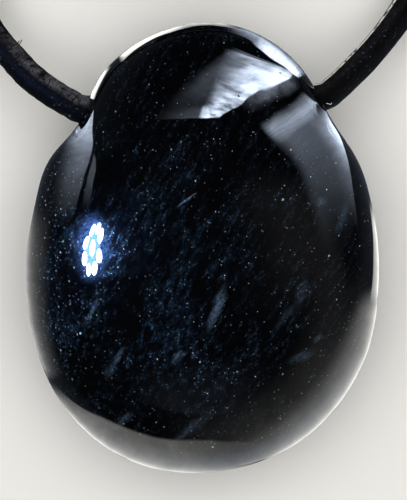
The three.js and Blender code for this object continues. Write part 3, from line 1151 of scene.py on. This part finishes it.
def bundle_centres():
    """Where the turns of the coil cross the plane of its middle, on the side nearest the stone."""
    path = cord_path()
    return [
        a.lerp(b, (COIL_CENTRE.x - a.x) / (b.x - a.x))
        for a, b in zip(path, path[1:])
        if (a.x - COIL_CENTRE.x) * (b.x - COIL_CENTRE.x) < 0
        and abs(a.y - COIL_CENTRE.y + BUNDLE_DISTANCE) < BUNDLE_REACH
    ]


def tie_path():
    """The thread's route: a tail, turns drawn tight round the bundle, the other tail."""
    centres = bundle_centres()
    clear = LACE_RADIUS + TIE_DIAMETER / 2 + TIE_GAP
    width = TIE_PITCH * TIE_TURNS
    steps_per_turn = 60
    steps = steps_per_turn * TIE_TURNS
    turns = []
    for i in range(steps + 1):
        angle = math.radians(TIE_START_ANGLE) + 2 * math.pi * TIE_TURNS * i / steps
        out = Vector((0, math.cos(angle), math.sin(angle)))
        held = max(centres, key=lambda centre: centre.dot(out))
        turns.append(held + out * clear + Vector((width * (i / steps - 0.5), 0, 0)))
    # Both tails hump over the middle of the turns and cross there.
    top = (turns[0] + turns[-1]) / 2 + Vector((0, 0, 0.5 * TIE_DIAMETER))
    hump = Vector((0, 0, 0.9 * TIE_DIAMETER))
    first = [top + Vector(xyz) for xyz in ((2.2, 2.1, -0.35), (1.2, 1.3, -0.05), (0.35, 0.45, 0.1))]
    last = [top + Vector(xyz) for xyz in ((-0.35, -0.45, 0.1), (-1.1, -1.5, 0.0), (-2.0, -2.6, -0.4))]
    loop = [top + hump + Vector((-0.3, 0.25, 0)), top + hump + Vector((-0.45, -0.2, -0.2))]
    other = [top + hump + Vector((0.45, 0.2, -0.2)), top + hump + Vector((0.3, -0.25, 0))]
    return catmull_rom(first + loop + turns[1:-1] + other + last, PATH_SPACING)


class PENDANT_OT_tie(bpy.types.Operator):
    """Adds the waxed thread that holds the coil's turns together"""

    bl_idname = "pendant.tie"
    bl_label = "Tie"

    def execute(self, context):
        bm = bmesh.new()
        bm.loops.layers.uv.new("along_and_round")
        sweep(bm, tie_path(), lambda along, angle: TIE_DIAMETER / 2, TIE_SIDES)
        piece = mesh_object("thread_tie", bm, thread_material(), CUT_END_ANGLE)
        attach(piece, "root")
        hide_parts("coil_tie")
        light_group("leather").objects.link(piece)
        return {"FINISHED"}


class PENDANT_OT_cord(bpy.types.Operator):
    """Adds the leather lace, from the stone round its coil and back to the stone"""

    bl_idname = "pendant.cord"
    bl_label = "Cord"

    def execute(self, context):
        settings = context.scene.pendant_cord
        path = cord_path()
        scale = settings.diameter / 2 / MM / LACE_RADIUS
        bm = bmesh.new()
        bm.loops.layers.uv.new("along_and_round")
        sweep(bm, path, lambda along, angle: scale * lace_radius(along, angle), LACE_SIDES)
        add_fibres(bm)
        piece = mesh_object("lace", bm, leather_material(), CUT_END_ANGLE)
        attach(piece, "root")
        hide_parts("cord", "cord_coil")
        light_group("leather").objects.link(piece)
        return {"FINISHED"}


# ---- The stage ----


MIDDLE = Vector((0, 0, EDGE_HEIGHT))
EYE = Vector((0.07, -0.18, EDGE_HEIGHT + CAMERA_DISTANCE))
# Heights between which a line of sight is searched for the stone, a height clear above it, and how often
# each search narrows down.
SEARCH_LOW = EDGE_HEIGHT - 0.6 * BACK_DEPTH
SEARCH_HIGH = EDGE_HEIGHT + 1.1 * FRONT_DEPTH
CLEAR_HEIGHT = EDGE_HEIGHT + 1.3 * FRONT_DEPTH
SEARCH_STEPS = 24


def sight_point(across, up, height):
    """A point at a height on the camera's line of sight through a place in the picture."""
    share = (EYE.z - height) / CAMERA_DISTANCE
    return Vector((EYE.x + (across - EYE.x) * share, EYE.y + (up - EYE.y) * share, height))


def stone_level(point):
    """Less than 1 inside the stone, 1 on its surface, more than 1 outside."""
    out = point - MIDDLE
    return out.length / stone_reach(out.normalized())


def deepest_height(across, up):
    """The height at which a line of sight comes nearest to the stone's middle, or goes deepest into it."""
    low, high = SEARCH_LOW, SEARCH_HIGH
    for _ in range(SEARCH_STEPS):
        step = (high - low) / 3
        if stone_level(sight_point(across, up, low + step)) < stone_level(
            sight_point(across, up, high - step)
        ):
            high -= step
        else:
            low += step
    return low


def pulled_in(place):
    """A place in the picture, drawn towards the stone's middle until it is on the stone."""
    on, off = 0.8, 1.0
    if stone_level(sight_point(place.x, place.y, deepest_height(place.x, place.y))) < 1:
        return place
    for _ in range(SEARCH_STEPS // 2):
        share = (on + off) / 2
        near = place * share
        if stone_level(sight_point(near.x, near.y, deepest_height(near.x, near.y))) < 1:
            on = share
        else:
            off = share
    return place * on


def mirror_ray(place):
    """The point that the camera sees at a place in the picture, and which way its mirror ray leaves."""
    inside, outside = deepest_height(place.x, place.y), CLEAR_HEIGHT
    for _ in range(SEARCH_STEPS):
        height = (inside + outside) / 2
        if stone_level(sight_point(place.x, place.y, height)) < 1:
            inside = height
        else:
            outside = height
    point = sight_point(place.x, place.y, inside)
    nudge = 0.002
    steps = [Vector([nudge * (axis == i) for i in range(3)]) for axis in range(3)]
    normal = Vector([stone_level(point + s) - stone_level(point - s) for s in steps]).normalized()
    return point, (point - EYE).normalized().reflect(normal)


def card_material(name, brightness, fades, folds, tint):
    """A lit paper card: it glows and lets all that is behind it show, so cards add up where they cross."""
    material, tree, shader = new_material(name)
    tree.nodes.remove(shader)
    uv = add_node(tree, "ShaderNodeUVMap", {"uv_map": "card"}).outputs["UV"]
    place = add_node(tree, "ShaderNodeSeparateXYZ", Vector=uv).outputs
    # Soft folds dim it, as on hung paper.
    depth, *counts = folds
    drawn = add_node(tree, "ShaderNodeMapping", Vector=uv, Scale=(*counts, 1)).outputs["Vector"]
    creases = add_node(tree, "ShaderNodeTexNoise", Vector=drawn, Scale=1.6, Detail=3.0).outputs["Fac"]
    glow = add_node(
        tree, "ShaderNodeMapRange", Value=creases, From_Min=0.62, From_Max=0.38,
        To_Min=brightness * (1 - depth), To_Max=brightness,
    ).outputs["Result"]
    for socket, near, fade in (
        (place["X"], 0, fades[0]),
        (place["X"], 1, -fades[1]),
        (place["Y"], 0, fades[2]),
        (place["Y"], 1, -fades[3]),
    ):
        edge = add_node(
            tree, "ShaderNodeMapRange", SMOOTHSTEP, Value=socket,
            From_Min=near, From_Max=near + fade,
        ).outputs["Result"]
        glow = add_node(tree, "ShaderNodeMath", MULTIPLY, i0=glow, i1=edge).outputs[0]
    light = add_node(tree, "ShaderNodeEmission", Color=linear(tint), Strength=glow)
    clear = add_node(tree, "ShaderNodeBsdfTransparent")
    both = add_node(tree, "ShaderNodeAddShader", i0=light.outputs[0], i1=clear.outputs[0])
    tree.links.new(both.outputs[0], tree.nodes["Material Output"].inputs["Surface"])
    return material


def hang_card(name, place_at, *looks):
    """Hangs a glowing card whose points are given by their shares across and along it."""
    bm = bmesh.new()
    bm.loops.layers.uv.new("card")
    columns, rows = CARD_SEGMENTS
    bmesh.ops.create_grid(bm, x_segments=columns, y_segments=rows, size=0.5, calc_uvs=True)
    for vert in bm.verts:
        vert.co = place_at(vert.co.x + 0.5, vert.co.y + 0.5) * MM
    card = mesh_object(name, bm, card_material(name, *looks))
    card.visible_camera = False
    card.visible_shadow = False
    card.visible_diffuse = False
    card.light_linking.receiver_collection = light_group("mirrors")


def in_view(pixel):
    """Turns a pixel of the camera's picture into millimetres across and up from the stone's middle."""
    return Vector((pixel[0] - STONE_PIXEL[0], STONE_PIXEL[1] - pixel[1])) / PIXELS_PER_MM


def mirror_card(name, left, right, *looks, distance):
    """Hangs a card where the camera sees its mirror image between two lines on the stone."""
    sides = [[pulled_in(in_view(pixel)) for pixel in side] for side in (left, right)]

    def place_at(across, along):
        i = min(len(left) - 2, math.floor(along * (len(left) - 1)))
        start, end = (curve_piece(side, i, along * (len(left) - 1) - i) for side in sides)
        point, ray = mirror_ray(pulled_in(start.lerp(end, across)))
        out = point - MIDDLE
        reach = -out.dot(ray) + math.sqrt(out.dot(ray) ** 2 + distance**2 - out.length_squared)
        return point + ray * reach

    hang_card(name, place_at, *looks)


def torch():
    """Nine small lamps, eight in a ring round one, whose mirror image sits on the left of the stone.

    A faint blue disc fills the ring, and a narrow wash lights the stone round the image.
    """
    point, ray = mirror_ray(Vector(TORCH_PLACE))
    turn = ray.to_track_quat("-Z", "Y")
    for i in range(TORCH_RING_LAMPS + 1):
        lean = math.radians(TORCH_RING_ANGLE) if i else 0.0
        spin = math.radians(360 / TORCH_RING_LAMPS * i + TORCH_RING_TURN)
        offset = Vector((math.cos(spin), math.sin(spin), 0)) * math.tan(lean) * TORCH_DISTANCE
        add_light(
            f"torch_lamp_{i}", "SPOT", (point + ray * TORCH_DISTANCE + turn @ offset) * MM,
            TORCH_LAMP_WATTS, point * MM, WASH_BLUE, shadow_soft_size=TORCH_LAMP_RADIUS * MM,
            spot_size=math.radians(TORCH_LAMP_BEAM), spot_blend=1.0,
        )
    face = add_light(
        "torch_face", "AREA", (point + ray * (TORCH_DISTANCE + 1)) * MM,
        TORCH_FACE_WATTS, point * MM, TORCH_BLUE, shape="DISK",
        size=2 * math.tan(math.radians(TORCH_RING_ANGLE)) * TORCH_DISTANCE * MM,
    )
    face.visible_diffuse = False
    wash = add_light(
        "torch_wash", "SPOT", (point + ray * TORCH_DISTANCE) * MM,
        WASH_WATTS, mirror_ray(Vector(WASH_PLACE))[0] * MM, WASH_BLUE,
        spot_size=math.radians(WASH_BEAM), spot_blend=1.0,
    )
    wash.visible_glossy = False


class PENDANT_OT_stage(bpy.types.Operator):
    """Adds the camera, the pale floor, the dim room, the glowing cards and the lamps"""

    bl_idname = "pendant.stage"
    bl_label = "Stage"

    def execute(self, context):
        settings = context.scene.pendant_stage
        scene = context.scene
        camera = bpy.data.cameras.new("camera")
        camera.sensor_width = 36
        camera.lens = camera.sensor_width * settings.camera_distance / (VIEW_HEIGHT * MM)
        camera.clip_start = 0.01
        eye = bpy.data.objects.new("camera", camera)
        scene.collection.objects.link(eye)
        eye.location = (EYE.x * MM, EYE.y * MM, EDGE_HEIGHT * MM + settings.camera_distance)
        scene.camera = eye

        bm = bmesh.new()
        bmesh.ops.create_grid(bm, x_segments=1, y_segments=1, size=FLOOR_REACH)
        material, _, shader = new_material("pale_matt_card")
        shader.inputs["Base Color"].default_value = linear(FLOOR_PALE)
        shader.inputs["Specular IOR Level"].default_value = 0.0
        floor = mesh_object("floor", bm, material)
        # What the lower half of the polish mirrors is set by the cards and the room instead.
        floor.visible_glossy = False

        world = bpy.data.worlds.new("dim_room")
        scene.world = world
        world.use_nodes = True
        tree = world.node_tree
        direction = add_node(tree, "ShaderNodeTexCoord").outputs["Generated"]
        height = add_node(tree, "ShaderNodeSeparateXYZ", Vector=direction).outputs["Z"]
        below = add_node(
            tree, "ShaderNodeMapRange", SMOOTHSTEP, Value=height,
            From_Min=0.12, From_Max=-0.4,
        ).outputs["Result"]
        towards = add_node(
            tree, "ShaderNodeVectorMath", {"operation": "DOT_PRODUCT"}, i0=direction, i1=ROOM_GLOW_SIDE
        ).outputs["Value"]
        lit = add_node(
            tree, "ShaderNodeMapRange", SMOOTHSTEP, Value=towards,
            From_Min=0.3, From_Max=1.0, To_Min=0.08, To_Max=0.6,
        ).outputs["Result"]
        strength = add_node(
            tree, "ShaderNodeMath", MULTIPLY_ADD, i0=below, i1=lit, i2=0.01
        ).outputs[0]
        tree.links.new(strength, tree.nodes["Background"].inputs["Strength"])
        tree.nodes["Background"].inputs["Color"].default_value = linear(DAYLIGHT)

        for name, (*card, distance) in CARDS.items():
            mirror_card(name, *card, distance=distance)
        torch()
        overhead = add_light(
            "overhead", "AREA", (0, 0, OVERHEAD_HEIGHT), settings.light, size=OVERHEAD_SIZE
        )
        overhead.visible_glossy = False
        for side, place in LEATHER_GLOSSES.items():
            gloss = add_light(
                f"leather_gloss_{side}", "AREA", place, LEATHER_GLOSS_WATTS, Vector((0, 0, 0)),
                size=LEATHER_GLOSS_SIZE,
            )
            gloss.light_linking.receiver_collection = light_group("leather")
        scene.view_settings.view_transform = "Standard"
        return {"FINISHED"}


# ---- Panel and registration ----


class PENDANT_PT_panel(bpy.types.Panel):
    """Lists the pendant's pieces and settings"""

    bl_label = "Tumbled Onyx Pendant"
    bl_space_type = "VIEW_3D"
    bl_region_type = "UI"
    bl_category = "Pendant"

    def draw(self, context):
        layout = self.layout
        for name in ("stone", "cord", "knot", "tie", "stage"):
            layout.operator(f"pendant.{name}")
            settings = getattr(context.scene, f"pendant_{name}", None)
            for prop in settings.__annotations__ if settings else ():
                layout.prop(settings, prop)


SETTINGS = {
    "pendant_stone": PendantStoneSettings,
    "pendant_cord": PendantCordSettings,
    "pendant_stage": PendantStageSettings,
}
CLASSES = (
    *SETTINGS.values(),
    PENDANT_OT_stage,
    PENDANT_OT_knot,
    PENDANT_OT_tie,
    PENDANT_OT_cord,
    PENDANT_OT_stone,
    PENDANT_PT_panel,
)


def register():
    for cls in CLASSES:
        bpy.utils.register_class(cls)
    for name, cls in SETTINGS.items():
        setattr(bpy.types.Scene, name, bpy.props.PointerProperty(type=cls))


def unregister():
    for name in SETTINGS:
        delattr(bpy.types.Scene, name)
    for cls in reversed(CLASSES):
        bpy.utils.unregister_class(cls)


def main():
    register()
    bpy.ops.pendant.stage()
    bpy.ops.pendant.knot()
    bpy.ops.pendant.tie()
    bpy.ops.pendant.cord()
    bpy.ops.pendant.stone()


if __name__ == "__main__":
    main()
